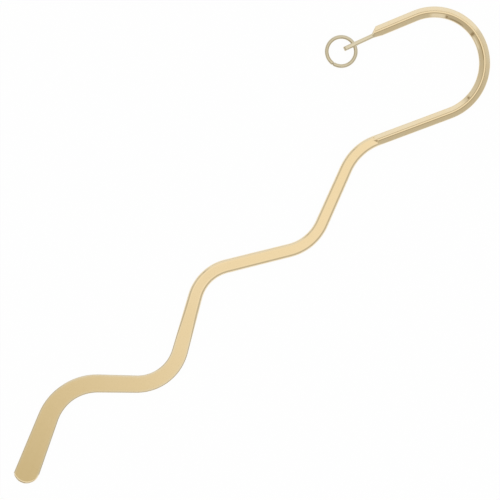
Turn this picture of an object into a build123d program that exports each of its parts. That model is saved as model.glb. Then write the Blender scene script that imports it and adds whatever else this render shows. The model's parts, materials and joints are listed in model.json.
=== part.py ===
from build123d import *
import math
import os
from collections import namedtuple

# A hook bookmark lying on its flat back: a waved blade that runs into a ridged hook, and a jump
# ring hanging in the eye at the hook's end. Sizes are in millimetres and degrees. +X runs along
# the blade towards the hook and +Z is up. Turns and offsets to the left are positive.

# Waved blade, from its rounded end to the foot of the ridge
END_HEADING = 27.5  # direction of the first run, from +X
END_RUN = 12.8  # from the tip of the rounded end to the first bend
END_WIDTH = 4.44  # where the rounded end starts
END_LENGTH = 1.45  # of the rounded end, at its middle
END_SKEW = 1.0  # how much further back its right corner lies than its left one
END_THICKNESS = 0.8
ROOT_THICKNESS = 1.24  # where the ridge starts
BLADE_BEVEL = 0.15  # of its upper edges
BLADE_LAP = 1.2  # hidden length of the blade inside the bar
BLADE_STEP_BACK = 0.6  # from where the ridge stands full back to the end of the blade's face
BLADE_STEP_SKEW = 20.0  # of that end, its left side further back
BLADE_STEP_SLOPE = 45.0  # down to the flanks of the ridge

# Five bends of the wave, from the rounded end: the turn and centreline radius of each, the
# blade's width there and the straight run after it. The last run is the arm of the hook.
BEND_1_TURN = -70.0
BEND_1_RADIUS = 9.6
BEND_1_WIDTH = 3.38
BEND_1_RUN = 6.9
BEND_2_TURN = 75.5
BEND_2_RADIUS = 8.1
BEND_2_WIDTH = 3.03
BEND_2_RUN = 10.4
BEND_3_TURN = -60.5
BEND_3_RADIUS = 7.8
BEND_3_WIDTH = 2.53
BEND_3_RUN = 11.9
BEND_4_TURN = 52.0
BEND_4_RADIUS = 8.7
BEND_4_WIDTH = 2.42
BEND_4_RUN = 10.8
BEND_5_TURN = -45.5
BEND_5_RADIUS = 9.8
BEND_5_WIDTH = 2.24
ARM_RUN = 14.3

# Ridged bar of the hook: the arm, two nearly quarter-round bends and a short straight tail
HOOK_FIRST_TURN = 90.0
HOOK_FIRST_RADIUS = 9.7
HOOK_SECOND_TURN = 92.0
HOOK_SECOND_RADIUS = 9.1
HOOK_TAIL = 7.4  # from the second bend to the outer corner of the shoulder
BAR_WIDTH = 2.03
EAVE_HEIGHT = 0.9
EAVE_RADIUS = 0.25
CREST_HEIGHT = 1.45
CREST_WIDTH = 0.2
FLANK_HOLLOW = 0.03  # depth of the hollow in each flank
RIDGE_START = 0.5  # from the last bend of the wave to where the ridge stands full
RIDGE_LEAD = 1.2  # length of the ridge within that bend
HIP_BACK = 0.84  # from where the ridge stands full back to the foot of its sloping end
HIP_SKEW = 43.0  # of that foot, its left side further back
HIP_SLOPE = 25.0  # of the sloping end

# Shoulder where the bar narrows to the neck
SHOULDER_RUN = 1.15  # length of the slant from the outer corner to the neck
SHOULDER_TAPER = 1.7  # length of the inner side's taper
SHOULDER_HIP = 0.35  # width of the sloping facet along the slant

# Neck and eye, a flat strap standing on edge
NECK_THICKNESS = 0.8
NECK_HEIGHT = 0.85  # at its root
NECK_LIFT = 0.15  # from the surface to its lower edge at the root
NECK_ROOT = 0.4  # hidden length inside the shoulder
NECK_OFFSET = 0.4  # from the bar's centreline towards the inside of the hook
NECK_TURN = 2.8  # from the bar's line towards the inside of the hook
EYE_HEIGHT = 2.0
EYE_DISTANCE = 3.75  # from the shoulder to the hole
EYE_NOSE = 2.05  # from the hole to the end
EYE_NOSE_RADIUS = 0.6  # of the end's corners
EYE_CLEARANCE = 0.22  # round the ring's wire
STRAP_BEVEL = 0.1  # of the strap's edges and the hole's rims

# Jump ring, bent from round wire and closed end to end
RING_DIAMETER = 6.0
WIRE_DIAMETER = 0.7
RING_GAP = 0.04  # between the wire's cut ends
RING_SEAM = 28.0  # place of the cut, from the side away from the eye
RING_YAW = 3.1  # how far the ring lies askew to the neck

UP = Vector(0, 0, 1)
RING_RADIUS = (RING_DIAMETER - WIRE_DIAMETER) / 2
EYE_HOLE = WIRE_DIAMETER + 2 * EYE_CLEARANCE
Bend = namedtuple("Bend", "turn radius width run")
Corner = namedtuple("Corner", "point heading bend")
WAVE = [
    Bend(BEND_1_TURN, BEND_1_RADIUS, BEND_1_WIDTH, BEND_1_RUN),
    Bend(BEND_2_TURN, BEND_2_RADIUS, BEND_2_WIDTH, BEND_2_RUN),
    Bend(BEND_3_TURN, BEND_3_RADIUS, BEND_3_WIDTH, BEND_3_RUN),
    Bend(BEND_4_TURN, BEND_4_RADIUS, BEND_4_WIDTH, BEND_4_RUN),
    Bend(BEND_5_TURN, BEND_5_RADIUS, BEND_5_WIDTH, ARM_RUN),
]


def direction(heading):
    """The level unit vector of a heading."""
    angle = math.radians(heading)
    return Vector(math.cos(angle), math.sin(angle), 0)


def left_of(heading):
    """The level unit vector to the left of a heading."""
    return direction(heading + 90)


def wave_corners():
    """The corner that each bend of the wave rounds off, then where the last bend ends and its heading."""
    point = Vector(0, 0, 0)
    heading = END_HEADING
    run = END_RUN
    corners = []
    for bend in WAVE:
        reach = bend.radius * math.tan(math.radians(abs(bend.turn) / 2))
        point += direction(heading) * (run + reach)
        corners.append(Corner(point, heading, bend))
        heading += bend.turn
        point += direction(heading) * reach
        run = bend.run
    return corners, point, heading


CORNERS, WAVE_END, ARM_HEADING = wave_corners()
RIDGE_FOOT = WAVE_END + direction(ARM_HEADING) * RIDGE_START


def blade_edge(side):
    """One long edge of the blade, left for side 1 and right for -1, run on into the bar."""
    corner = END_LENGTH - side * END_SKEW / 2
    points = [direction(END_HEADING) * corner + left_of(END_HEADING) * side * END_WIDTH / 2]
    radii = []
    for point, heading, bend in CORNERS:
        half_turn = bend.turn / 2
        mitre = bend.width / 2 / math.cos(math.radians(half_turn))
        points.append(point + left_of(heading + half_turn) * side * mitre)
        radii.append(bend.radius - math.copysign(bend.width / 2, bend.turn * side))
    foot = RIDGE_FOOT + left_of(ARM_HEADING) * side * BAR_WIDTH / 2
    points.append(foot + (foot - points[-1]).normalized() * BLADE_LAP)
    return FilletPolyline(points, radius=radii)


def blade_outline():
    """The blade seen from above, with its rounded end."""
    left = blade_edge(1)
    right = blade_edge(-1)
    end = ThreePointArc(left @ 0, (0, 0, 0), right @ 0)
    return make_face([*left.edges(), *right.edges(), end, Line(left @ 1, right @ 1)])


def from_foot(along, left, up):
    """A point given along, to the left of and above the arm where the ridge stands full."""
    return RIDGE_FOOT + direction(ARM_HEADING) * along + left_of(ARM_HEADING) * left + UP * up


def cut_away(body, first, second, third):
    """The body without what lies past a plane, on the side from which its three points turn left."""
    normal = (second - first).cross(third - first)
    return split(body, bisect_by=Plane(origin=first, z_dir=normal), keep=Keep.BOTTOM)


def cut_askew(body, back, skew, slope):
    """The body without what lies over a slope that crosses the blade's face askew and rises along the arm."""
    foot = from_foot(-back, 0, ROOT_THICKNESS)
    across = -left_of(ARM_HEADING + skew)
    uphill = direction(ARM_HEADING + skew) + UP * math.tan(math.radians(slope))
    return cut_away(body, foot, foot + across, foot + uphill)


def blade(outline):
    """The flat blade, thinning evenly from the ridge to its end, with bevelled edges and a step to the ridge."""
    slope = (ROOT_THICKNESS - END_THICKNESS) / RIDGE_FOOT.X
    top = Plane(origin=(0, 0, END_THICKNESS), z_dir=(-slope, 0, 1))
    body = split(extrude(outline, 2 * ROOT_THICKNESS), bisect_by=top, keep=Keep.BOTTOM)
    upper_edges = body.faces().sort_by(Axis.Z)[-1].edges()
    inside_bar = from_foot(BLADE_LAP, 0, ROOT_THICKNESS)
    body = chamfer(upper_edges.sort_by_distance(inside_bar)[1:], BLADE_BEVEL)
    return cut_askew(body, BLADE_STEP_BACK, BLADE_STEP_SKEW, -BLADE_STEP_SLOPE)


def bar_section(foot, heading):
    """Cross-section of the hook at a point: a slab under a ridge with hollow flanks and a narrow crest."""
    half = BAR_WIDTH / 2
    crest = CREST_WIDTH / 2
    outline = Polyline((half, EAVE_HEIGHT), (half, 0), (-half, 0), (-half, EAVE_HEIGHT))
    outline += SagittaArc((-half, EAVE_HEIGHT), (-crest, CREST_HEIGHT), -FLANK_HOLLOW)
    outline += Line((-crest, CREST_HEIGHT), (crest, CREST_HEIGHT))
    outline += SagittaArc((crest, CREST_HEIGHT), (half, EAVE_HEIGHT), -FLANK_HOLLOW)
    section = make_face(outline.edges())
    eaves = section.vertices().group_by(Axis.Y)[1]
    section = fillet(eaves, EAVE_RADIUS)
    return Plane(origin=foot, x_dir=left_of(heading), z_dir=direction(heading)) * section


def hook_path():
    """Centreline of the ridged bar, from the ridge's foot round to where its inner side starts to taper."""
    arm = Line(RIDGE_FOOT, RIDGE_FOOT + direction(ARM_HEADING) * (ARM_RUN - RIDGE_START))
    first = JernArc(arm @ 1, arm % 1, HOOK_FIRST_RADIUS, HOOK_FIRST_TURN)
    second = JernArc(first @ 1, first % 1, HOOK_SECOND_RADIUS, HOOK_SECOND_TURN)
    tail = Line(second @ 1, second @ 1 + (second % 1) * (HOOK_TAIL + SHOULDER_RUN - SHOULDER_TAPER))
    return Wire([arm, first, second, tail])


HOOK_PATH = hook_path()
TAIL_HEADING = ARM_HEADING + HOOK_FIRST_TURN + HOOK_SECOND_TURN
SHOULDER = HOOK_PATH @ 1 + direction(TAIL_HEADING) * (SHOULDER_TAPER - SHOULDER_RUN)


def at_shoulder(along, left, up=0):
    """A point given along, to the left of and above the bar's centreline at its outer shoulder corner."""
    return SHOULDER + direction(TAIL_HEADING) * along + left_of(TAIL_HEADING) * left + UP * up


def ridge_lead():
    """The start of the ridge: the bar run back into the wave's last bend, under its sloping, skewed end."""
    lead_turn = math.degrees(RIDGE_LEAD / BEND_5_RADIUS)
    start_heading = ARM_HEADING + lead_turn
    centre = WAVE_END - left_of(ARM_HEADING) * BEND_5_RADIUS
    start = centre + left_of(start_heading) * BEND_5_RADIUS
    bend = JernArc(start, direction(start_heading), BEND_5_RADIUS, -lead_turn)
    path = Wire([bend, Line(bend @ 1, RIDGE_FOOT)])
    lead = sweep(bar_section(start, start_heading), path=path)
    return cut_askew(lead, HIP_BACK, HIP_SKEW, HIP_SLOPE)


def shoulder():
    """The bar's last stretch: a slanting outer shoulder with a sloping facet, and a tapering inner side."""
    half = BAR_WIDTH / 2
    neck_outer = NECK_OFFSET - NECK_THICKNESS / 2
    neck_inner = NECK_OFFSET + NECK_THICKNESS / 2
    stretch = extrude(bar_section(HOOK_PATH @ 1, TAIL_HEADING), SHOULDER_TAPER, dir=direction(TAIL_HEADING))
    stretch = cut_away(
        stretch,
        at_shoulder(0, -half),
        at_shoulder(SHOULDER_RUN, neck_outer),
        at_shoulder(SHOULDER_RUN, neck_outer, CREST_HEIGHT),
    )
    stretch = cut_away(
        stretch,
        at_shoulder(SHOULDER_RUN, neck_inner),
        at_shoulder(SHOULDER_RUN - SHOULDER_TAPER, half),
        at_shoulder(SHOULDER_RUN - SHOULDER_TAPER, half, CREST_HEIGHT),
    )
    outer_corner = at_shoulder(0, -half, EAVE_HEIGHT)
    neck_corner = at_shoulder(SHOULDER_RUN, neck_outer, EAVE_HEIGHT)
    inward = UP.cross((neck_corner - outer_corner).normalized())
    uphill = inward * SHOULDER_HIP + UP * (CREST_HEIGHT - EAVE_HEIGHT)
    return cut_away(stretch, outer_corner, neck_corner, neck_corner + uphill)


STRAP_HEADING = TAIL_HEADING + NECK_TURN
STRAP_START = at_shoulder(SHOULDER_RUN, NECK_OFFSET, EYE_HEIGHT / 2)
EYE = STRAP_START + direction(STRAP_HEADING) * EYE_DISTANCE
EYE_AXIS = -left_of(STRAP_HEADING)


def neck_and_eye():
    """The strap from inside the shoulder, widening evenly up to the blunt-nosed eye, drilled for the ring."""
    half = EYE_HEIGHT / 2
    root = -EYE_DISTANCE - NECK_ROOT
    root_low = NECK_LIFT - half
    corner_along = EYE_NOSE - EYE_NOSE_RADIUS
    corner_up = half - EYE_NOSE_RADIUS
    rim = Circle(half).edges()
    rim += (Pos(corner_along, corner_up) * Circle(EYE_NOSE_RADIUS)).edges()
    rim += (Pos(corner_along, -corner_up) * Circle(EYE_NOSE_RADIUS)).edges()
    rim += Line((root, root_low), (root, root_low + NECK_HEIGHT)).edges()
    strap = extrude(make_hull(rim), NECK_THICKNESS / 2, both=True)
    strap -= Cylinder(EYE_HOLE / 2, NECK_THICKNESS * 2)
    strap = chamfer(strap.faces().filter_by(Axis.Z).edges(), STRAP_BEVEL)
    return Plane(origin=EYE, x_dir=direction(STRAP_HEADING), z_dir=EYE_AXIS) * strap


def hook_blade():
    """The bookmark's one-piece body."""
    outline = blade_outline()
    bar = sweep(bar_section(RIDGE_FOOT, ARM_HEADING), path=HOOK_PATH)
    return blade(outline) + ridge_lead() + bar + shoulder() + neck_and_eye()


def jump_ring():
    """The ring, through the eye and drooping until its far side lies on the surface."""
    droop = math.degrees(math.asin((EYE_HEIGHT - WIRE_DIAMETER) / 2 / (2 * RING_RADIUS)))
    level = direction(STRAP_HEADING + RING_YAW)
    outward = level * math.cos(math.radians(droop)) - UP * math.sin(math.radians(droop))
    side = left_of(STRAP_HEADING + RING_YAW)
    place = Plane(origin=EYE + outward * RING_RADIUS, x_dir=outward, z_dir=outward.cross(side))
    gap_angle = math.degrees(RING_GAP / RING_RADIUS)
    wire = Plane.XZ * Pos(RING_RADIUS, 0) * Circle(WIRE_DIAMETER / 2)
    ring = revolve(wire, Axis.Z, 360 - gap_angle)
    return place * Rot(0, 0, RING_SEAM + gap_angle / 2) * ring


def main():
    """Build both pieces, centre them over the middle of the lying object and write them."""
    pieces = {"hook_blade": hook_blade(), "jump_ring": jump_ring()}
    middle = Compound(list(pieces.values())).bounding_box().center()
    shift = Pos(-middle.X, -middle.Y, 0)
    os.makedirs("parts", exist_ok=True)
    for name, piece in pieces.items():
        export_step(shift * piece, f"parts/{name}.step")
    print("eye centre", EYE - Vector(middle.X, middle.Y, 0), "axis", EYE_AXIS)


main()
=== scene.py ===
"""The looks of a gilt hook bookmark: a waved blade, its ridged hook and its jump ring."""

import json
import math

import bmesh
import bpy
from mathutils import Matrix, Vector


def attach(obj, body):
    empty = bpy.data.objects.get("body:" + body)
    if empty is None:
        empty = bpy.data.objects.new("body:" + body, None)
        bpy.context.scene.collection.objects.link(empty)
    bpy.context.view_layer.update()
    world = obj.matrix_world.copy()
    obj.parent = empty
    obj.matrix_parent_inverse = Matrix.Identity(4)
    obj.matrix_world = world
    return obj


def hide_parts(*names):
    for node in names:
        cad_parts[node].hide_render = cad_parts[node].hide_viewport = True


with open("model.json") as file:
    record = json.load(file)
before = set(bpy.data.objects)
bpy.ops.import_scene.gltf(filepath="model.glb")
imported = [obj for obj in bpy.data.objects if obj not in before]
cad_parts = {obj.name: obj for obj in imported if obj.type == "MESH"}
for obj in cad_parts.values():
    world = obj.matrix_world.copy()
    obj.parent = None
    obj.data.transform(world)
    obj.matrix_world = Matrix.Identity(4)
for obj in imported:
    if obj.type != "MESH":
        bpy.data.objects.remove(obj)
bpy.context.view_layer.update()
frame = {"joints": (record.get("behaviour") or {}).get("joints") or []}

bl_info = {
    "name": "Gilt hook bookmark",
    "version": (1, 0, 0),
    "blender": (4, 5, 0),
    "location": "View3D > Sidebar > Bookmark",
    "description": "Makes a waved blade with a ridged hook, its jump ring and a plain stage",
    "category": "Object",
}

MM = 0.001
UP = Vector((0.0, 0.0, 1.0))
RING_SWING = frame["joints"][0]
EYE_PLACE = Vector(RING_SWING["pos_m"])

# Sizes of the blade and hook that shape only the route, and the bends' own rows.
ROUTE_SIZES = ("end_heading", "end_run", "turns", "radii", "widths", "runs", "tail", "ridge_start")

# Steps of the meshes: round the edges, across the faces, round the arcs and along the route.
ROUND_STEPS = 8
FACE_STEPS = 56
FACE_CROWDING = 1.6
ARC_POINTS = 64
ARC_STEP = math.radians(5.0)
EDGE_STEPS = 8
RING_POINTS = 240
WIRE_POINTS = 40
COARSE_STEP = 0.40 * MM
TIP_STEP = 0.15 * MM
CREASE_STEP = 0.04 * MM
WELD = 0.002 * MM
BODY_SHARP = math.radians(35.0)
WIRE_SHARP = math.radians(50.0)

# Slopes between which an upper edge turns down: crisp, over the blade's end, and soft.
CRISP_FLAT = math.radians(36.0)
CRISP_STEEP = math.radians(47.0)
END_FLAT = math.radians(15.0)
SOFT_FLAT = math.radians(4.0)
SOFT_STEEP = math.radians(75.0)

# Where one form runs into the next.
TIP_BLEND = 6.0 * MM
BAR_FADE = (-0.5 * MM, 1.0 * MM)
LIP_WIDTH = 0.14 * MM
NECK_SHIFT_START = 0.3
LEAST_RISE = 0.05

# Wear: how far it reaches in from an edge, and how strong it is at the bar's eaves and crest.
RIM_WIDTH = 0.6 * MM
EAVE_WEAR = 0.85
CREST_WEAR = 0.20

# Textures of the gilding: repeats per metre, ranges of a noise that count, and shares.
CLOUD_SCALE = 60.0
CLOUD_DETAIL = 2.0
CLOUD_RANGE = (0.30, 0.70)
CLOUD_SHARE = 0.7
MOTTLE_SCALE = 900.0
MOTTLE_DETAIL = 4.0
MOTTLE_RANGE = (0.25, 0.75)
MOTTLE_SHARE = 0.3
WEAR_SCALE = 1400.0
WEAR_DETAIL = 3.0
WEAR_RANGE = (0.30, 0.65)
LEAST_WEAR = 0.4
BODY_LINES = 9000.0
WIRE_LINES = 7000.0
LINE_STRETCH = 40.0
LINE_DETAIL = 3.0
BROAD_SCALE = 0.12
BROAD_DETAIL = 1.0
BROAD_SHARE = 0.4
HAZE_RANGE = (0.30, 0.75)
DEEP_SHARE = 0.6
WORN_SHARE = 0.7
THIN_SHARE = 0.85
HAZE_ROUGHNESS = 0.04
WEAR_ROUGHNESS = 0.03
LINE_STRENGTH = 0.03
LINE_DEPTH = 0.02 * MM

# The stage. Heights on the walls are the sine of the elevation. A light's sides are its heading
# and its outer and inner half width, in degrees, counted from the right of the picture.
FLOOR_SHADE = (0.95, 0.95, 0.95, 1.0)
FLOOR_WHITE = 0.97
SOFTBOX_SIDES = (82.0, 52.0, 40.0)
SOFTBOX_TOP = (0.66, 0.76)
GLOW_SIDES = (75.0, 105.0, 40.0)
GLOW_SHARE = 0.5
FOOT_SHARE = 0.25
FOOT_HEIGHTS = (0.0, 0.30)
CEILING_HEIGHTS = (0.58, 0.92)
DIM_SPOT = -0.11
DIM_REACH = (-0.05, 0.12)
LEAST_LEVEL = 0.001
CLIP_START = 0.01
CLIP_END = 100.0

# Patches of the walls that show in the hook: colour, heading and half width in degrees, height,
# half height and strength.
PATCHES = (
    ("softbox", 203.0, 11.0, 0.62, 0.13, 0.6),
    ("softbox", 268.0, 13.0, 0.54, 0.17, 0.65),
    ("frames", 238.0, 26.0, 0.45, 0.30, 0.2),
    ("frames", 243.5, 13.0, 0.64, 0.11, 0.9),
    ("frames", 194.0, 15.0, 0.14, 0.32, 0.8),
    ("frames", 133.0, 1.6, 0.44, 0.12, 1.0),
    ("frames", 215.5, 2.4, 0.48, 0.20, 1.0),
    ("frames", 257.0, 1.8, 0.56, 0.12, 1.0),
)


def number(label, default, about, **kind):
    """A property for one number or for a row of them."""
    kind.update(name=label, description=about, default=default)
    if isinstance(default, float):
        return bpy.props.FloatProperty(**kind)
    return bpy.props.FloatVectorProperty(size=len(default), **kind)


def length(label, millimetres, about):
    """A property for one length."""
    kind = {"min": 0.0, "precision": 5, "subtype": "DISTANCE", "unit": "LENGTH"}
    return number(label, millimetres * MM, about, **kind)


def lengths(label, millimetres, about):
    """A property for a row of lengths, one for each bend."""
    values = [value * MM for value in millimetres]
    return number(label, values, about, precision=5, unit="LENGTH")


def angle(label, degrees, about):
    """A property for one angle."""
    return number(label, math.radians(degrees), about, subtype="ANGLE", unit="ROTATION")


def angles(label, degrees, about):
    """A property for a row of angles, one for each bend."""
    values = [math.radians(value) for value in degrees]
    return number(label, values, about, unit="ROTATION")


def colour(label, red, green, blue, about):
    """A property for one colour."""
    return number(label, (red, green, blue), about, min=0.0, max=1.0, subtype="COLOR")


class BladeSizes(bpy.types.PropertyGroup):
    """Sizes of the flat waved blade."""

    end_heading: angle("End heading", 27.5, "Heading of the first run, from the rounded end")
    end_run: length("End run", 12.8, "Straight run from the rounded end to the first bend")
    end_width: length("End width", 4.44, "Width just inside the rounded end")
    end_length: length("End length", 1.45, "How far the rounded end stands out at its middle")
    end_skew: length("End skew", 1.0, "How much further back its right corner lies than its left")
    end_thickness: length("End thickness", 0.8, "Thickness at the rounded end")
    root_thickness: length("Root thickness", 1.24, "Thickness where the ridge starts")
    left_corner: length("Left corner", 0.2, "Rounding of the end's left corner")
    right_corner: length("Right corner", 0.5, "Rounding of the end's right corner")
    bevel: length("Bevel", 0.15, "Width of the crisp bevel along the edges near the rounded end")
    end_rounding: length("End rounding", 0.28, "Width of the rounding over the end's upper edge")
    soft_edge: length("Soft edge", 0.62, "Width of the soft upper edges nearer the hook")
    soft_from: length("Soft from", 42.0, "Where the edges start to soften")
    soft_at: length("Soft at", 56.0, "Where they are fully soft")
    step_back: length("Step back", 0.6, "From the full ridge back to the end of the blade's face")
    step_skew: angle("Step skew", 20.0, "Turn of that end, its left side further back")
    step_slope: angle("Step slope", 45.0, "Slope of the step down to the flanks")
    turns: angles("Turns", (-70.0, 75.5, -60.5, 52.0, -45.5), "Turn of each bend")
    radii: lengths("Radii", (9.6, 8.1, 7.8, 8.7, 9.8), "Radius of each bend")
    widths: lengths("Widths", (3.38, 3.03, 2.53, 2.42, 2.24), "Width at the middle of each bend")
    runs: lengths("Runs", (6.9, 10.4, 11.9, 10.8, 14.3), "Straight run after each bend")


class HookSizes(bpy.types.PropertyGroup):
    """Sizes of the ridged arm, hook and shoulder."""

    turns: angles("Turns", (90.0, 92.0), "Turn of each half of the hook")
    radii: lengths("Radii", (9.7, 9.1), "Radius of each half of the hook")
    tail: length("Tail", 7.4, "Straight run from the hook to the shoulder")
    bar_width: length("Bar width", 2.03, "Width of the ridged bar")
    eave_height: length("Eave height", 0.9, "Height of the bar's sides")
    eave_radius: length("Eave radius", 0.32, "Rounding of the bar's upper edges")
    crest_height: length("Crest height", 1.45, "Height of the ridge")
    crest_width: length("Crest width", 0.2, "Width of the flat along the ridge")
    crest_lip: length("Crest lip", 0.035, "How much that flat stands proud of the flanks")
    crest_softness: length("Crest softness", 0.05, "How softly the polished creases run")
    flank_hollow: length("Flank hollow", 0.03, "Hollow of each sloping flank")
    ridge_start: length("Ridge start", 0.5, "From the last bend to where the ridge stands full")
    hip_back: length("Hip back", 0.84, "From there back to the foot of the ridge's sloping end")
    hip_skew: angle("Hip skew", 43.0, "Turn of that foot, its left side further back")
    hip_slope: angle("Hip slope", 25.0, "Slope of the ridge's sloping end")
    shoulder_run: length("Shoulder run", 1.15, "Length of the slanted outer shoulder")
    shoulder_taper: length("Shoulder taper", 1.7, "Length of the tapered inner side")
    shoulder_hip: length("Shoulder hip", 0.35, "Width of the sloping facet along the slant")


class EyeSizes(bpy.types.PropertyGroup):
    """Sizes of the upright strap and its eye."""

    thickness: length("Thickness", 0.8, "Thickness of the strap")
    neck_height: length("Neck height", 0.85, "Height of the neck at its root")
    neck_lift: length("Neck lift", 0.15, "From the surface to the neck's lower edge at its root")
    neck_root: length("Neck root", 0.4, "Hidden length inside the shoulder")
    neck_offset: length("Neck offset", 0.4, "The neck's middle, left of the bar's middle")
    neck_turn: angle("Neck turn", 2.8, "Turn of the strap from the bar's line, to the left")
    height: length("Eye height", 2.0, "Height of the eye")
    distance: length("Eye distance", 3.75, "From the shoulder to the middle of the hole")
    nose: length("Nose", 2.05, "From the middle of the hole to the nose")
    nose_radius: length("Nose radius", 0.6, "Rounding of the nose's corners")
    hole: length("Hole", 1.14, "Diameter of the hole")
    rounding: length("Rounding", 0.32, "Rounding of the strap's edges")
    nose_rounding: length("Nose rounding", 0.12, "Rounding of the nose's upright edges")
    root_fade: length("Root fade", 0.6, "How far the thin gilding fades into the shoulder")
    hole_rounding: length("Hole rounding", 0.06, "Rounding of the hole's edges")


class RingSizes(bpy.types.PropertyGroup):
    """Sizes of the jump ring."""

    diameter: length("Diameter", 6.0, "Outer diameter of the ring")
    wire: length("Wire", 0.7, "Diameter of the wire")
    gap: length("Gap", 0.04, "Width of the cut")
    cut_bevel: length("Cut bevel", 0.12, "Burr taken off the cut ends")
    seam: angle("Seam", 28.0, "Place of the cut, from the far side of the ring")
    yaw: angle("Yaw", 3.1, "Turn of the lying ring from the strap's line")


class Finishes(bpy.types.PropertyGroup):
    """Colours of the gilding."""

    plate: colour("Plate", 0.90, 0.715, 0.435, "Polished gilding")
    deep_plate: colour("Deep plate", 0.86, 0.675, 0.385, "Gilding where it lies thicker")
    thin_plate: colour("Thin plate", 0.70, 0.62, 0.44, "Gilding where it lies thin, on the strap")
    worn_plate: colour("Worn plate", 0.85, 0.775, 0.61, "Gilding buffed thin along edges and crest")
    wire_plate: colour("Wire plate", 0.64, 0.56, 0.39, "Gilding of the ring's wire")
    deep_wire: colour("Deep wire", 0.60, 0.51, 0.34, "Gilding of the wire where it lies thicker")
    worn_wire: colour("Worn wire", 0.68, 0.62, 0.48, "Gilding of the wire buffed thin")
    polish: number("Polish", 0.05, "Roughness of the gilding", min=0.0, max=1.0, subtype="FACTOR")


class StageSettings(bpy.types.PropertyGroup):
    """The plain stage: floor, soft light and camera."""

    floor_side: length("Floor side", 6000.0, "Side of the square floor")
    frame_width: length("Frame width", 90.909, "Width that the picture takes in")
    aim_along: length("Aim along", 59.018, "Point under the camera, from the rounded end's tip")
    aim_aside: length("Aim aside", 4.377, "Point under the camera, to the left of the tip")
    roll: angle("Roll", -41.5, "Turn of the camera about its line of sight")
    lens: number("Lens", 300.0, "Focal length", min=1.0, unit="CAMERA")
    room: colour("Room", 0.62, 0.61, 0.57, "Soft light of the room round the object")
    softbox: colour("Softbox", 0.95, 0.97, 1.0, "Large softbox on the far side")
    frames: colour("Frames", 0.32, 0.27, 0.20, "Dark things that stand by the walls")
    skirting: colour("Skirting", 0.38, 0.36, 0.33, "Dim foot of the walls")
    ceiling: colour("Ceiling", 1.0, 1.0, 1.0, "Overhead light")
    dim_ceiling: colour("Dim ceiling", 0.42, 0.38, 0.20, "Overhead light above the rounded end")


class Field:
    """A value in a node tree that plain arithmetic can be done with."""

    def __init__(self, socket):
        self.socket = socket
        self.tree = socket.id_data

    def math(self, operation, *values):
        """A Math node on this value."""
        inputs = dict(enumerate((self, *values)))
        return value_of(self.tree, "ShaderNodeMath", inputs, operation=operation)

    def __add__(self, other):
        return self.math("ADD", other)

    __radd__ = __add__

    def __sub__(self, other):
        return self.math("SUBTRACT", other)

    def __rsub__(self, other):
        return self.math("MULTIPLY_ADD", -1.0, other)

    def __mul__(self, other):
        return self.math("MULTIPLY", other)

    __rmul__ = __mul__

    def __truediv__(self, other):
        return self.math("DIVIDE", other)

    def ramp(self, start, end, kind="LINEAR"):
        """0 before start, 1 after end, and even or smooth in between."""
        inputs = {"Value": self, "From Min": start, "From Max": end}
        return value_of(self.tree, "ShaderNodeMapRange", inputs, interpolation_type=kind)

    def smooth_ramp(self, start, end):
        """The smooth kind of ramp."""
        return self.ramp(start, end, "SMOOTHSTEP")

    def towards(self, other, amount):
        """This value moved towards another one by a share of the way."""
        return self + (other - self) * amount

    def crowded(self, power):
        """Steps from -1 to 1 drawn together round 0."""
        return self.math("SIGN") * self.math("ABSOLUTE").math("POWER", power)


def feed(socket, value):
    """Links a field to a socket, or sets a plain value on it."""
    if isinstance(value, Field):
        socket.id_data.links.new(value.socket, socket)
    else:
        socket.default_value = value


def add_node(tree, kind, inputs=None, **settings):
    """A new node with its settings and inputs."""
    node = tree.nodes.new(kind)
    for name, value in settings.items():
        setattr(node, name, value)
    for name, value in (inputs or {}).items():
        feed(node.inputs[name], value)
    return node


def value_of(tree, kind, inputs=None, output=0, **settings):
    """What a new node puts out."""
    return Field(add_node(tree, kind, inputs, **settings).outputs[output])


def vector(*parts):
    """Three values as one vector."""
    return value_of(parts[0].tree, "ShaderNodeCombineXYZ", dict(enumerate(parts)))


def parts_of(field):
    """The three values of a vector."""
    node = add_node(field.tree, "ShaderNodeSeparateXYZ", {"Vector": field})
    return [Field(socket) for socket in node.outputs]


def vector_sum(total, *fields):
    """Vectors added up."""
    for field in fields:
        total = value_of(total.tree, "ShaderNodeVectorMath", {0: total, 1: field})
    return total


def mixed(amount, *shades):
    """One colour mixed into another, where a plain colour gets a full alpha."""
    first, second = [shade if isinstance(shade, Field) else (*shade, 1.0) for shade in shades]
    inputs = {0: amount, 6: first, 7: second}
    return value_of(amount.tree, "ShaderNodeMix", inputs, 2, data_type="RGBA")


def noise(place, scale, detail):
    """A cloudy noise about 0.5."""
    inputs = {"Vector": place, "Scale": scale, "Detail": detail}
    return value_of(place.tree, "ShaderNodeTexNoise", inputs)


def kept(tree, name, kind, value):
    """A node that keeps a value on the points of a mesh."""
    inputs = {"Name": name, "Value": value}
    return add_node(tree, "GeometryNodeStoreNamedAttribute", inputs, data_type=kind)


def carried(tree, name, output):
    """What a mesh carries under a name, for its material."""
    return value_of(tree, "ShaderNodeAttribute", output=output, attribute_name=name)


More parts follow.
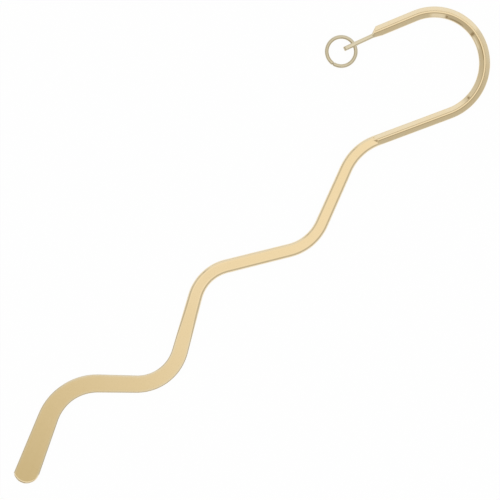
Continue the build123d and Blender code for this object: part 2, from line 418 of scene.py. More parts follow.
class NodeSheet:
    """A node group while it is being drawn up."""

    def __init__(self, name, kind):
        self.tree = bpy.data.node_groups.new(name, kind)
        self.source = self.tree.nodes.new("NodeGroupInput")
        self.result = self.tree.nodes.new("NodeGroupOutput")

    def take(self, name, kind="NodeSocketFloat"):
        """A named input."""
        self.tree.interface.new_socket(name=name, in_out="INPUT", socket_type=kind)
        return Field(self.source.outputs[name])

    def give(self, name, value, kind="NodeSocketFloat"):
        """A named output."""
        self.tree.interface.new_socket(name=name, in_out="OUTPUT", socket_type=kind)
        feed(self.result.inputs[name], value)

    def finish(self, name, material, nodes):
        """A mesh as the output: what a row of nodes makes, shaded, realized and painted."""
        nodes = [
            *nodes,
            self.tree.nodes.new("GeometryNodeSetShadeSmooth"),
            self.tree.nodes.new("GeometryNodeRealizeInstances"),
            add_node(self.tree, "GeometryNodeSetMaterial", {"Material": material}),
        ]
        for first, second in zip(nodes, nodes[1:]):
            self.tree.links.new(first.outputs[0], second.inputs[0])
        self.give(name, Field(nodes[-1].outputs[0]), "NodeSocketGeometry")


def direction(heading):
    """The level unit vector at a heading."""
    return Vector((math.cos(heading), math.sin(heading), 0.0))


def left_of(heading):
    """The level unit vector to the left of a heading."""
    return Vector((-math.sin(heading), math.cos(heading), 0.0))


class Route:
    """The middle line from the rounded end to the shoulder, and the lengths that matter on it."""

    def __init__(self, scene):
        blade, hook, eye = scene.bookmark_blade, scene.bookmark_hook, scene.bookmark_eye
        turns = [*blade.turns, *hook.turns]
        radii = [*blade.radii, *hook.radii]
        runs = [*blade.runs, 0.0, hook.tail + hook.shoulder_run]
        heading = blade.end_heading
        run = blade.end_run
        point = Vector((0.0, 0.0, 0.0))
        along = 0.0
        self.corners = [point]
        self.radii = [0.0]
        self.bend_middles = []
        for turn, radius, next_run in zip(turns, radii, runs):
            reach = radius * math.tan(abs(turn) / 2)
            point = point + direction(heading) * (run + reach)
            self.corners.append(point)
            self.radii.append(radius)
            arc = radius * abs(turn)
            self.bend_middles.append(along + run + arc / 2)
            along += run + arc
            heading += turn
            point = point + direction(heading) * reach
            run = next_run
            if len(self.bend_middles) == len(blade.turns):
                self.foot = along + hook.ridge_start
                self.foot_x = (point + direction(heading) * hook.ridge_start).x
        point = point + direction(heading) * run
        self.corners.append(point)
        self.radii.append(0.0)
        self.length = along + run
        self.shoulder = self.length - hook.shoulder_run
        self.strap_heading = heading + eye.neck_turn
        self.strap_ahead = direction(self.strap_heading)
        self.strap_left = left_of(self.strap_heading)
        neck = point + left_of(heading) * eye.neck_offset
        eye_on_route = neck + self.strap_ahead * eye.distance
        self.place = EYE_PLACE - eye_on_route
        self.place.z = 0.0


def corner_line(route):
    """The route's corners as a line of edges that carries each corner's radius."""
    mesh = bpy.data.meshes.new("corner_line")
    edges = [(i, i + 1) for i in range(len(route.corners) - 1)]
    mesh.from_pydata(route.corners, edges, [])
    radius = mesh.attributes.new("corner_radius", "FLOAT", "POINT")
    radius.data.foreach_set("value", route.radii)
    return mesh


def station_zones(route, blade, hook):
    """Stretches of the route as (length, rows), closer where the surface has creases."""
    hip = route.foot - hook.hip_back - hook.bar_width / 2
    bar = route.foot + hook.bar_width / 2
    shoulder = route.shoulder - hook.shoulder_taper
    marks = [
        (blade.end_rounding, TIP_STEP),
        (TIP_BLEND, COARSE_STEP),
        (hip, CREASE_STEP),
        (bar, COARSE_STEP),
        (shoulder, CREASE_STEP),
    ]
    ends = [mark for mark, step in marks[1:]] + [route.length]
    return [(end - mark, math.ceil((end - mark) / step)) for (mark, step), end in zip(marks, ends)]


def stepped(row, zones, first):
    """The length reached at a row, where each zone has its own number of rows."""
    total = 0.0
    for stretch, rows in zones:
        total = row.ramp(first, first + rows) * stretch + total
        first += rows
    return total


def labelled(sizes, left_out):
    """The sizes of a group by their labels, apart from some."""
    names = [name for name in type(sizes).__annotations__ if name not in left_out]
    return {sizes.bl_rna.properties[name].name: getattr(sizes, name) for name in names}


def strip_values(route, blade, hook, eye):
    """The values of the strip's inputs."""
    values = {
        **labelled(blade, ROUTE_SIZES),
        **labelled(hook, ROUTE_SIZES),
        "Root distance": route.foot_x,
        "Ridge foot": route.foot,
        "Shoulder": route.shoulder,
        "Neck offset": eye.neck_offset,
        "Neck thickness": eye.thickness,
    }
    for bend, (middle, width) in enumerate(zip(route.bend_middles, blade.widths), 1):
        values[f"Bend {bend} place"] = middle
        values[f"Bend {bend} width"] = width
    return values


def strip_tree(zones, names, bends):
    """The blade, arm, hook and shoulder as one closed strip along the filleted corner line."""
    sheet = NodeSheet("Waved blade and ridged hook", "GeometryNodeTree")
    tree = sheet.tree
    corners = sheet.take("Corner line", "NodeSocketGeometry")
    place = sheet.take("Place", "NodeSocketVector")
    material = sheet.take("Material", "NodeSocketMaterial")
    size = {name: sheet.take(name) for name in names}
    end_width, end_length, end_skew = size["End width"], size["End length"], size["End skew"]
    root, eave, neck = size["Root thickness"], size["Eave height"], size["Neck offset"]
    bend_places = [size[f"Bend {bend} place"] for bend in range(1, bends + 1)]
    bend_widths = [size[f"Bend {bend} width"] for bend in range(1, bends + 1)]

    # A grid of rows along the route and points round the section; the wave's own sizes bend it.
    rows = 1 + ROUND_STEPS + sum(count for stretch, count in zones) + 1
    around = 2 * (FACE_STEPS + ROUND_STEPS + 1)
    grid_size = {"Size X": float(rows), "Size Y": float(around)}
    grid_points = {"Vertices X": rows + 1, "Vertices Y": around + 1}
    grid = add_node(tree, "GeometryNodeMeshGrid", {**grid_size, **grid_points})
    grid_x, grid_y, _ = parts_of(value_of(tree, "GeometryNodeInputPosition"))
    row = grid_x + rows / 2
    turn = grid_y + around / 2
    left_wall = FACE_STEPS + 1
    face = left_wall + ROUND_STEPS
    right_edge = face + FACE_STEPS
    right_wall = right_edge + ROUND_STEPS

    # Across from -1 on the right to 1 on the left, under the strip and over it.
    over = 1.0 - turn.ramp(face, right_edge) * 2.0
    under = (turn.ramp(0, FACE_STEPS) - turn.ramp(right_wall, around)) * 2.0 - 1.0
    raised = turn.ramp(FACE_STEPS, left_wall) * (1.0 - turn.ramp(right_wall, around))
    rounding = turn.ramp(left_wall, face) * (1.0 - turn.ramp(right_edge, right_wall))
    across = under.crowded(FACE_CROWDING).towards(over.crowded(FACE_CROWDING), raised)
    on_left = across.math("GREATER_THAN", 0.0)
    open_rows = row.ramp(0, 1) * (1.0 - row.ramp(rows - 1, rows))

    # Lengths along the route, with the rounded end drawn back askew towards its corners.
    end_radius = size["End rounding"] / (math.sin(CRISP_STEEP) - math.sin(END_FLAT))
    end_turn = row.ramp(1, 1 + ROUND_STEPS) * (CRISP_STEEP - END_FLAT) + (math.pi / 2 - CRISP_STEEP)
    along = stepped(row, zones, 1 + ROUND_STEPS)
    along = along + end_radius * (math.sin(CRISP_STEEP) - end_turn.math("COSINE"))
    end_drop = end_radius * (math.cos(END_FLAT) - end_turn.math("SINE"))
    end_half = end_width / 2
    corner_squared = end_skew * end_skew / 4 + end_half * end_half
    arc_ahead = (end_length * end_length + corner_squared) / (end_length * 2)
    arc_left = end_skew * (arc_ahead - end_length) / (end_half * 2)
    chord = across * end_half - arc_left
    arc_rise = (arc_ahead * arc_ahead + arc_left * arc_left - chord * chord).math("SQRT")
    corner = size["Right corner"].towards(size["Left corner"], on_left)
    round_corner = (across.math("ABSOLUTE") * end_half - end_half + corner).ramp(0.0, corner)
    corner_rise = (1.0 - round_corner * round_corner).math("SQRT")
    corner_lean = round_corner / corner_rise.math("MAXIMUM", LEAST_RISE)
    lean = chord.math("ABSOLUTE") / arc_rise + corner_lean
    end_drop = end_drop / (lean * lean + 1.0).math("SQRT")
    end_rim = 1.0 - along.smooth_ramp(0.0, RIM_WIDTH)
    sag = arc_ahead - arc_rise + corner * (1.0 - corner_rise)
    along = along + sag * (1.0 - along.ramp(0.0, TIP_BLEND))

    # Widths from bend to bend, then the shoulder's slanted outer and tapered inner side.
    places = [end_length + end_skew / 2 - end_skew * on_left, *bend_places, size["Ridge foot"]]
    widths = [end_width, *bend_widths, size["Bar width"]]
    width = widths[0]
    for k in range(len(places) - 1):
        width = width + along.ramp(places[k], places[k + 1]) * (widths[k + 1] - widths[k])
    half = width / 2
    past = along - size["Shoulder"]
    run = size["Shoulder run"]
    neck_half = size["Neck thickness"] / 2
    neck_right = neck_half - neck
    tapered = past.ramp(run - size["Shoulder taper"], run)
    left_half = half.towards(neck + neck_half, tapered)
    right_half = half.towards(neck_right, past.ramp(0.0, run))
    middle = neck * past.ramp(run * NECK_SHIFT_START, run)
    reach = (right_half + middle).towards(left_half - middle, on_left)

    # How far a place lies past a line that crosses the strip askew, behind the full ridge.
    from_foot = along - size["Ridge foot"]

    def past_line(name, aside):
        skew = size[name + " skew"]
        ahead = (from_foot + size[name + " back"]) * skew.math("COSINE")
        return ahead + aside * skew.math("SINE")

    # The upper edges: crisp on the blade, then soft, and on the bar rounded to the flank's slope.
    bar_half = size["Bar width"] / 2
    crest_half = size["Crest width"] / 2
    rise = size["Crest height"] - eave
    flank_run = bar_half - crest_half
    at_edge = past_line("Step", (on_left * 2.0 - 1.0) * bar_half)
    on_bar = at_edge.smooth_ramp(*BAR_FADE)
    bow = size["Flank hollow"] * 4.0  # the slope at the ends of a parabola this deep
    eave_slope = ((rise - bow) / flank_run).math("ARCTANGENT")
    soft = along.smooth_ramp(size["Soft from"], size["Soft at"])
    flat_end = (soft * (SOFT_FLAT - CRISP_FLAT) + CRISP_FLAT).towards(eave_slope, on_bar)
    steep_end = (soft * (SOFT_STEEP - CRISP_STEEP) + CRISP_STEEP).towards(math.pi / 2, on_bar)
    soft_radius = size["Soft edge"] / (math.sin(SOFT_STEEP) - math.sin(SOFT_FLAT))
    crisp_radius = size["Bevel"] / (math.sin(CRISP_STEEP) - math.sin(CRISP_FLAT))
    radius = crisp_radius.towards(soft_radius, soft).towards(size["Eave radius"], on_bar)
    edge_turn = rounding * (steep_end - flat_end) + (math.pi / 2 - steep_end)
    face_reach = reach - radius * (steep_end.math("SINE") - flat_end.math("SINE"))
    rounded_reach = reach - radius * (steep_end.math("SINE") - edge_turn.math("COSINE"))
    edge_drop = radius * (flat_end.math("COSINE") - edge_turn.math("SINE"))

    # The height of the bar's face: hollow flanks, the crest, the hip and the shoulder's facet.
    sideways = middle + across * face_reach
    blur = size["Crest softness"]
    up_flank = (bar_half - sideways.math("ABSOLUTE")) / flank_run
    hollow = bow * up_flank * (1.0 - up_flank)
    lip = size["Crest lip"] * (sideways.math("ABSOLUTE") - crest_half).ramp(0.0, LIP_WIDTH)
    flank = eave + rise * up_flank - hollow - lip
    past_hip = past_line("Hip", sideways)
    hip = root + size["Hip slope"].math("TANGENT") * past_hip
    slant_across = bar_half - neck_right
    slant = (run * run + slant_across * slant_across).math("SQRT")
    inside_slant = (run * (sideways + bar_half) - slant_across * past) / slant
    facet = eave + rise * inside_slant / size["Shoulder hip"]
    gable = flank.math("SMOOTH_MIN", size["Crest height"], blur)
    gable = gable.math("SMOOTH_MIN", hip, blur).math("SMOOTH_MIN", facet, blur)

    # Points on the route, and the blade's even slope from its end to the ridge.
    fillet_inputs = {
        "Curve": value_of(tree, "GeometryNodeMeshToCurve", {"Mesh": corners}),
        "Radius": value_of(tree, "GeometryNodeInputNamedAttribute", {"Name": "corner_radius"}),
        "Count": ARC_POINTS,
    }
    line = value_of(tree, "GeometryNodeFilletCurve", fillet_inputs, mode="POLY")
    sampled = {"Curves": line, "Length": along}
    sample = add_node(tree, "GeometryNodeSampleCurve", sampled, mode="LENGTH", use_all_curves=True)
    spot = Field(sample.outputs["Position"])
    ahead_x, ahead_y, _ = parts_of(Field(sample.outputs["Tangent"]))
    left_x = ahead_y * -1.0
    spot_x = parts_of(spot)[0] + left_x * sideways
    thickening = (root - size["End thickness"]) / size["Root distance"]
    level = size["End thickness"] + thickening * spot_x
    past_step = past_line("Step", sideways)
    step = root - size["Step slope"].math("TANGENT") * past_step
    height = gable.math("SMOOTH_MAX", level.math("MINIMUM", step), blur)
    lift = (height - edge_drop.math("MAXIMUM", end_drop)) * raised * open_rows
    out = middle + across * reach.towards(rounded_reach, raised * open_rows)
    offset = vector(left_x * out, ahead_x * out, lift)

    # What the finish needs: the place along and across the strip, and how worn it is there.
    rim = 1.0 - (reach - (out - middle).math("ABSOLUTE")).smooth_ramp(0.0, RIM_WIDTH)
    worn_bar = on_bar * (up_flank.ramp(0.0, 1.0) * (CREST_WEAR - EAVE_WEAR) + EAVE_WEAR)
    worn = rim.math("MAXIMUM", end_rim).math("MAXIMUM", worn_bar) * raised
    strip = kept(tree, "strip", "FLOAT_VECTOR", vector(along, out, lift))
    edge = kept(tree, "edge", "FLOAT", worn)
    moved = add_node(tree, "GeometryNodeSetPosition", {"Position": vector_sum(spot, offset, place)})
    weld = add_node(tree, "GeometryNodeMergeByDistance", {"Distance": WELD})
    outwards = tree.nodes.new("GeometryNodeFlipFaces")
    sheet.finish("Strip", material, [grid, strip, edge, moved, weld, outwards])
    return sheet


def ring_tree():
    """The jump ring: round wire bent round an arc, with its burrs taken off at the cut."""
    sheet = NodeSheet("Jump ring", "GeometryNodeTree")
    tree = sheet.tree
    sheet.take("Start", "NodeSocketGeometry")
    place = sheet.take("Place", "NodeSocketVector")
    lie = sheet.take("Lie", "NodeSocketRotation")
    material = sheet.take("Material", "NodeSocketMaterial")
    names = ("Diameter", "Wire", "Gap", "Cut bevel", "Seam")
    diameter, wire, gap, bevel, seam = [sheet.take(name) for name in names]
    radius = (diameter - wire) / 2
    gap_turn = gap / radius
    arc_inputs = {
        "Resolution": RING_POINTS,
        "Radius": radius,
        "Start Angle": seam + gap_turn / 2,
        "Sweep Angle": 2 * math.pi - gap_turn,
    }
    arc = value_of(tree, "GeometryNodeCurveArc", arc_inputs, mode="RADIUS")
    section_inputs = {"Resolution": WIRE_POINTS, "Radius": wire / 2}
    section = value_of(tree, "GeometryNodeCurvePrimitiveCircle", section_inputs, mode="RADIUS")
    reached = value_of(tree, "GeometryNodeSplineParameter", output="Length")
    whole = value_of(tree, "GeometryNodeSplineLength", output="Length")
    from_cut = reached.math("MINIMUM", whole - reached)
    burr = (1.0 - from_cut.ramp(0.0, bevel)) * bevel / (wire / 2)
    bent = {"Curve": arc, "Profile Curve": section, "Scale": 1.0 - burr, "Fill Caps": True}
    swept = add_node(tree, "GeometryNodeCurveToMesh", bent)
    x, y, z = parts_of(value_of(tree, "GeometryNodeInputPosition"))
    round_the_ring = y.math("ARCTAN2", x) * radius
    outwards = (x * x + y * y).math("SQRT") - radius
    strip = kept(tree, "strip", "FLOAT_VECTOR", vector(round_the_ring, z, outwards))
    edge = kept(tree, "edge", "FLOAT", outwards.smooth_ramp(0.0, wire / 2))
    laid = add_node(tree, "GeometryNodeTransform", {"Translation": place, "Rotation": lie})
    sheet.finish("Ring", material, [swept, strip, edge, laid])
    return sheet


def add_object(name, data):
    """A new object at the origin that shows a mesh or a camera."""
    piece = bpy.data.objects.new(name, data)
    bpy.context.scene.collection.objects.link(piece)
    return piece


def made_plain(piece, modifier):
    """The mesh that an object's modifier makes; the modifier is taken off."""
    evaluated = piece.evaluated_get(bpy.context.evaluated_depsgraph_get())
    mesh = bpy.data.meshes.new_from_object(evaluated)
    piece.modifiers.remove(modifier)
    return mesh


def grown_mesh(name, base, sheet, values):
    """The plain mesh that a node sheet makes of a base mesh."""
    seed = add_object(name + "_seed", base)
    modifier = seed.modifiers.new(sheet.tree.name, "NODES")
    modifier.node_group = sheet.tree
    sockets = [item for item in sheet.tree.interface.items_tree if item.in_out == "INPUT"]
    identifiers = {socket.name: socket.identifier for socket in sockets}
    for label, value in values.items():
        modifier[identifiers[label]] = value
    mesh = made_plain(seed, modifier)
    bpy.data.objects.remove(seed)
    mesh.name = name
    return mesh


def arc_points(centre, radius, start, end):
    """Points on an arc, from its first angle to its last."""
    x, y = centre
    steps = math.ceil(abs(end - start) / ARC_STEP)
    turns = [start + (end - start) * step / steps for step in range(steps + 1)]
    return [(x + radius * math.cos(turn), y + radius * math.sin(turn)) for turn in turns]


def strap_half(eye, level):
    """Half of the strap's outline: from a root this far out up to the eye, then to the nose."""
    head = eye.height / 2
    back = eye.distance + eye.neck_root
    tangent = math.pi - math.atan2(level, back) - math.acos(head / math.hypot(back, level))
    corner = (eye.nose - eye.nose_radius, head - eye.nose_radius)
    points = [(-back, level)]
    points += arc_points((0.0, 0.0), head, tangent, math.pi / 2)
    return points + arc_points(corner, eye.nose_radius, math.pi / 2, 0.0)


def strap_outline(eye):
    """The strap seen from its side, the middle of the hole at the origin and the nose ahead."""
    head = eye.height / 2
    upper = strap_half(eye, eye.neck_lift + eye.neck_height - head)
    lower = strap_half(eye, head - eye.neck_lift)
    return upper + [(forward, -up) for forward, up in reversed(lower)]


def mitres(outline):
    """The way out of the metal at each corner of an outline that has the metal on its right."""
    edges = [Vector(point) - Vector(last) for last, point in zip([outline[-1], *outline], outline)]
    normals = [Vector((-edge.y, edge.x)).normalized() for edge in edges]
    turned = [*normals[1:], normals[0]]
    return [(first + second) / (1.0 + first.dot(second)) for first, second in zip(normals, turned)]


def rounded_walls(work, outline, thickness, roundings):
    """Rings of a wall right across the strap, its edges rounded by a radius for each corner."""
    steps = range(EDGE_STEPS + 1)
    profile = [(-1.0, math.pi / 2 * (step / EDGE_STEPS - 1.0)) for step in steps]
    profile += [(1.0, math.pi / 2 * step / EDGE_STEPS) for step in steps]
    ways = mitres(outline)
    rings = []
    for side, turn in profile:
        ring = []
        for point, way, rounding in zip(outline, ways, roundings):
            place = Vector(point) - way * rounding * (1.0 - math.cos(turn))
            aside = side * (thickness / 2 - rounding) + rounding * math.sin(turn)
            ring.append(work.verts.new((place.x, aside, place.y)))
        rings.append(ring)
    for near, far in zip(rings, rings[1:]):
        for i in range(len(outline)):
            work.faces.new((near[i - 1], near[i], far[i], far[i - 1]))
    return rings[0], rings[-1]


def strap_mesh(route, eye, material):
    """The upright strap with the eye's hole through it and its edges rounded."""
    work = bmesh.new()
    outline = strap_outline(eye)
    hole = arc_points((0.0, 0.0), eye.hole / 2, 0.0, 2 * math.pi)[:-1]
    noses = [max(0.0, 1.0 - (eye.nose - forward) / eye.nose_radius) for forward, up in outline]
    roundings = [eye.rounding + (eye.nose_rounding - eye.rounding) * nose for nose in noses]
    outers = rounded_walls(work, outline, eye.thickness, roundings)
    inners = rounded_walls(work, hole, eye.thickness, [eye.hole_rounding] * len(hole))
    for outer, inner in zip(outers, inners):
        pairs = [(rim[i - 1], rim[i]) for rim in (outer, inner) for i in range(len(rim))]
        bmesh.ops.bridge_loops(work, edges=[work.edges.get(pair) for pair in pairs])
    bmesh.ops.recalc_face_normals(work, faces=work.faces)
    middle = Vector((EYE_PLACE.x, EYE_PLACE.y, eye.height / 2))
    columns = Matrix((route.strap_ahead, route.strap_left, UP)).transposed().to_4x4()
    bmesh.ops.transform(work, matrix=Matrix.Translation(middle) @ columns, verts=work.verts)
    mesh = bpy.data.meshes.new("strap")
    work.to_mesh(mesh)
    work.free()
    mesh.materials.append(material)
    mesh.shade_smooth()
    return mesh


def mark_strap(mesh, route, eye):
    """What the finish needs on the strap: the place on it, its wear and its thin gilding."""
    mesh.attributes.new("thin", "FLOAT", "POINT")
    strip, edge, thin = [mesh.attributes[name].data for name in ("strip", "edge", "thin")]
    for vert in mesh.vertices:
        from_eye = vert.co - EYE_PLACE
        past = from_eye.dot(route.strap_ahead) + eye.distance
        aside = from_eye.dot(route.strap_left)
        if past <= -eye.root_fade or abs(aside) >= eye.thickness:
            continue
        thin[vert.index].value = min(1.0, 1.0 + past / eye.root_fade)
        if past > 0.0:
            strip[vert.index].vector = (route.length + past, aside, from_eye.z)
            edge[vert.index].value = 1.0


def plating(sheet):
    """How thick the gilding lies: broad clouds and a fine mottle, as a mask."""
    place = sheet.take("Place", "NodeSocketVector")
    clouds = noise(place, sheet.take("Cloud scale"), CLOUD_DETAIL).smooth_ramp(*CLOUD_RANGE)
    mottles = noise(place, sheet.take("Mottle scale"), MOTTLE_DETAIL).ramp(*MOTTLE_RANGE)
    sheet.give("Depth", clouds * CLOUD_SHARE + mottles * MOTTLE_SHARE)


def buffing(sheet):
    """Fine lines that a buffing wheel leaves along the strip, as a height and a roughness."""
    along, out, lift = parts_of(sheet.take("Strip", "NodeSocketVector"))
    lines = sheet.take("Lines per metre")
    spot = vector(along * lines / sheet.take("Stretch"), out * lines, lift * lines)
    fine = noise(spot, 1.0, LINE_DETAIL)
    broad = noise(spot, BROAD_SCALE, BROAD_DETAIL)
    sheet.give("Height", fine)
    sheet.give("Haze", fine.towards(broad, BROAD_SHARE).ramp(*HAZE_RANGE))


def wearing(sheet):
    """Where edges and crest have been buffed thin, broken up by a mottle, as a mask."""
    edge = sheet.take("Edge")
    place = sheet.take("Place", "NodeSocketVector")
    broken = noise(place, sheet.take("Scale"), WEAR_DETAIL).ramp(*WEAR_RANGE)
    sheet.give("Wear", edge * (broken * (1.0 - LEAST_WEAR) + LEAST_WEAR))


def shared(tree, name, draw, inputs):
    """The outputs of a node group in a material, drawn up when it is first asked for."""
    group = bpy.data.node_groups.get(name)
    if not group:
        sheet = NodeSheet(name, "ShaderNodeTree")
        draw(sheet)
        group = sheet.tree
    node = add_node(tree, "ShaderNodeGroup", inputs, node_tree=group)
    return {socket.name: Field(socket) for socket in node.outputs}


def gilt(name, plate, deep, worn, thin, polish, lines):
    """A polished gilt finish: plating of uneven depth, buffing lines and edges worn brighter."""
    material = bpy.data.materials.new(name)
    material.use_nodes = True
    tree = material.node_tree
    shader = tree.nodes["Principled BSDF"]
    shader.inputs["Metallic"].default_value = 1.0
    place = value_of(tree, "ShaderNodeTexCoord", output="Object")
    scales = {"Place": place, "Cloud scale": CLOUD_SCALE, "Mottle scale": MOTTLE_SCALE}
    depth = shared(tree, "Plating depth", plating, scales)["Depth"]
    edges = {"Edge": carried(tree, "edge", "Fac"), "Place": place, "Scale": WEAR_SCALE}
    wear = shared(tree, "Edge wear", wearing, edges)["Wear"]
    strip = carried(tree, "strip", "Vector")
    spacing = {"Strip": strip, "Lines per metre": lines, "Stretch": LINE_STRETCH}
    buff = shared(tree, "Buffing lines", buffing, spacing)
    base = mixed(depth * DEEP_SHARE, plate, deep)
    base = mixed(wear * WORN_SHARE, base, worn)
    thinness = carried(tree, "thin", "Fac")
    feed(shader.inputs["Base Color"], mixed(thinness * THIN_SHARE, base, thin))
    roughness = buff["Haze"] * HAZE_ROUGHNESS + wear * WEAR_ROUGHNESS + polish
    feed(shader.inputs["Roughness"], roughness)
    relief = {"Strength": LINE_STRENGTH, "Distance": LINE_DEPTH, "Height": buff["Height"]}
    feed(shader.inputs["Normal"], value_of(tree, "ShaderNodeBump", relief))
    return material


class BOOKMARK_OT_blade_and_hook(bpy.types.Operator):
    """Make the one-piece body: waved blade, ridged hook, shoulder and the strap with the eye"""

    bl_idname = "bookmark.blade_and_hook"
    bl_label = "Blade and hook"

    def execute(self, context):
        scene = context.scene
        blade, hook, eye = scene.bookmark_blade, scene.bookmark_hook, scene.bookmark_eye
        finish = scene.bookmark_finishes
        route = Route(scene)
        plates = (finish.plate, finish.deep_plate, finish.worn_plate, finish.thin_plate)
        material = gilt("gilt_body", *plates, finish.polish, BODY_LINES)
        values = strip_values(route, blade, hook, eye)
        sheet = strip_tree(station_zones(route, blade, hook), list(values), len(blade.turns))
        values["Place"] = route.place
        values["Material"] = material
        strip = grown_mesh("waved_strip", corner_line(route), sheet, values)
        piece = add_object("waved_hook_blade", strip)
        strap = add_object("strap", strap_mesh(route, eye, material))
        union = piece.modifiers.new("Strap", "BOOLEAN")
        union.operation = "UNION"
        union.solver = "EXACT"
        union.object = strap
        whole = made_plain(piece, union)
        bpy.data.objects.remove(strap)
        piece.data = whole
        mark_strap(whole, route, eye)
        whole.set_sharp_from_angle(angle=BODY_SHARP)
        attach(piece, "blade_body")
        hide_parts("hook_blade")
        return {"FINISHED"}


class BOOKMARK_OT_jump_ring(bpy.types.Operator):
    """Make the cut jump ring that hangs in the eye and lies on the surface"""

    bl_idname = "bookmark.jump_ring"
    bl_label = "Jump ring"

    def execute(self, context):
        scene = context.scene
        sizes, eye, finish = scene.bookmark_ring, scene.bookmark_eye, scene.bookmark_finishes
        heading = Route(scene).strap_heading + sizes.yaw
        radius = (sizes.diameter - sizes.wire) / 2
        droop = math.asin((eye.height - sizes.wire) / 2 / (2 * radius))
        outward = direction(heading) * math.cos(droop) - UP * math.sin(droop)
        side = left_of(heading)
        lie = Matrix((outward, side, outward.cross(side))).transposed().to_euler()
        plates = (finish.wire_plate, finish.deep_wire, finish.worn_wire, finish.thin_plate)
        values = {
            "Place": EYE_PLACE + outward * radius,
            "Lie": lie,
            "Material": gilt("gilt_wire", *plates, finish.polish, WIRE_LINES),
            **labelled(sizes, ("yaw",)),
        }
        mesh = grown_mesh("jump_ring_wire", bpy.data.meshes.new("ring_start"), ring_tree(), values)
        mesh.set_sharp_from_angle(angle=WIRE_SHARP)
        piece = add_object("jump_ring_wire", mesh)
        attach(piece, "ring_body")
        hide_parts("jump_ring")
        return {"FINISHED"}


def floor_material():
    """A white floor that is lit, and white for the camera and in reflections and glass."""
    material = bpy.data.materials.new("white_floor")
    material.use_nodes = True
    tree = material.node_tree
    tree.nodes.remove(tree.nodes["Principled BSDF"])
    lit = value_of(tree, "ShaderNodeBsdfDiffuse", {"Color": FLOOR_SHADE})
    white = value_of(tree, "ShaderNodeEmission", {"Strength": 1.0})
    rays = tree.nodes.new("ShaderNodeLightPath")
    seen = Field(rays.outputs["Is Camera Ray"])
    for name in ("Is Glossy Ray", "Is Transmission Ray"):
        seen = seen.math("MAXIMUM", Field(rays.outputs[name]))
    mix = value_of(tree, "ShaderNodeMixShader", {0: seen * FLOOR_WHITE, 1: lit, 2: white})
    feed(tree.nodes["Material Output"].inputs["Surface"], mix)
    return material


def studio_world(settings):
    """Soft light all round: a dim room, a large softbox, patches on the walls and a ceiling."""
    world = bpy.data.worlds.new("soft_studio")
    world.use_nodes = True
    tree = world.node_tree
    towards = value_of(tree, "ShaderNodeTexCoord", output="Generated")
    turn = {"Vector": towards, "Angle": -settings.roll}
    turned = value_of(tree, "ShaderNodeVectorRotate", turn, rotation_type="Z_AXIS")
    right, ahead, up = parts_of(turned)
    level = (right * right + ahead * ahead).math("SQRT").math("MAXIMUM", LEAST_LEVEL)

    def facing(*sides):
        """How much of what stands on one side is seen in a direction."""
        heading, outer, inner = [math.radians(degrees) for degrees in sides]
        nearness = (right * math.cos(heading) + ahead * math.sin(heading)) / level
        return nearness.smooth_ramp(math.cos(outer), math.cos(inner))

    softbox = facing(*SOFTBOX_SIDES) * (1.0 - up.smooth_ramp(*SOFTBOX_TOP))
    lit = softbox.math("MAXIMUM", facing(*GLOW_SIDES) * GLOW_SHARE)
    walls = mixed(lit, settings.room, settings.softbox)
    foot = mixed(softbox * FOOT_SHARE, settings.skirting, settings.softbox)
    walls = mixed(1.0 - up.smooth_ramp(*FOOT_HEIGHTS), walls, foot)
    for shade, heading, width, height, reach, strength in PATCHES:
        beside = 1.0 - (up - height).math("ABSOLUTE").smooth_ramp(reach / 2, reach)
        patch = facing(heading, width, width / 2) * beside * strength
        walls = mixed(patch, walls, getattr(settings, shade))
    aside = right - DIM_SPOT * math.cos(settings.roll)
    beyond = ahead + DIM_SPOT * math.sin(settings.roll)
    bright = (aside * aside + beyond * beyond).math("SQRT").smooth_ramp(*DIM_REACH)
    ceiling = mixed(bright, settings.dim_ceiling, settings.ceiling)
    dome = mixed(up.smooth_ramp(*CEILING_HEIGHTS), walls, ceiling)
    feed(tree.nodes["Background"].inputs["Color"], dome)
    return world


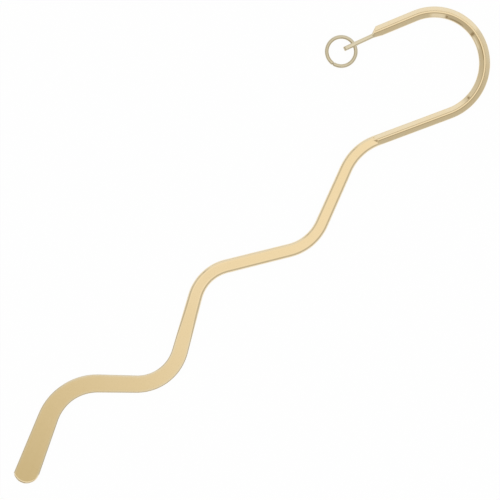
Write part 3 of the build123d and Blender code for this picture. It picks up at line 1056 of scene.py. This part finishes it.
class BOOKMARK_OT_stage(bpy.types.Operator):
    """Lay the white floor, set the soft light and put the camera straight above"""

    bl_idname = "bookmark.stage"
    bl_label = "Stage"

    def execute(self, context):
        scene = context.scene
        settings = scene.bookmark_stage
        half = settings.floor_side / 2
        mesh = bpy.data.meshes.new("floor")
        corners = [(-half, -half, 0), (half, -half, 0), (half, half, 0), (-half, half, 0)]
        mesh.from_pydata(corners, [], [range(len(corners))])
        mesh.materials.append(floor_material())
        add_object("floor", mesh)
        scene.world = studio_world(settings)
        data = bpy.data.cameras.new("camera")
        data.lens = settings.lens
        data.clip_start = CLIP_START
        data.clip_end = CLIP_END
        camera = add_object("camera", data)
        distance = settings.frame_width * settings.lens / data.sensor_width
        aim = Route(scene).place + Vector((settings.aim_along, settings.aim_aside, 0.0))
        camera.location = aim + UP * (distance + scene.bookmark_hook.eave_height)
        camera.rotation_euler = (0.0, 0.0, settings.roll)
        scene.camera = camera
        scene.view_settings.view_transform = "Standard"
        return {"FINISHED"}


class BOOKMARK_PT_panel(bpy.types.Panel):
    """The bookmark's pieces, sizes and finishes"""

    bl_idname = "BOOKMARK_PT_panel"
    bl_label = "Gilt hook bookmark"
    bl_space_type = "VIEW_3D"
    bl_region_type = "UI"
    bl_category = "Bookmark"

    def draw(self, context):
        for operator in OPERATORS:
            self.layout.operator(operator.bl_idname)
        for attribute, group in SETTINGS.items():
            box = self.layout.box()
            box.label(text=group.__doc__)
            for name in group.__annotations__:
                box.prop(getattr(context.scene, attribute), name)


SETTINGS = {
    "bookmark_blade": BladeSizes,
    "bookmark_hook": HookSizes,
    "bookmark_eye": EyeSizes,
    "bookmark_ring": RingSizes,
    "bookmark_finishes": Finishes,
    "bookmark_stage": StageSettings,
}
OPERATORS = (BOOKMARK_OT_blade_and_hook, BOOKMARK_OT_jump_ring, BOOKMARK_OT_stage)
CLASSES = (*SETTINGS.values(), *OPERATORS, BOOKMARK_PT_panel)


def register():
    """Adds the classes and the scene's settings."""
    for item in CLASSES:
        bpy.utils.register_class(item)
    for attribute, group in SETTINGS.items():
        setattr(bpy.types.Scene, attribute, bpy.props.PointerProperty(type=group))


def unregister():
    """Takes them out again."""
    for attribute in SETTINGS:
        delattr(bpy.types.Scene, attribute)
    for item in reversed(CLASSES):
        bpy.utils.unregister_class(item)


def main():
    """Registers the classes, then makes the pieces and the stage."""
    register()
    bpy.ops.bookmark.blade_and_hook()
    bpy.ops.bookmark.jump_ring()
    bpy.ops.bookmark.stage()


if __name__ == "__main__":
    main()
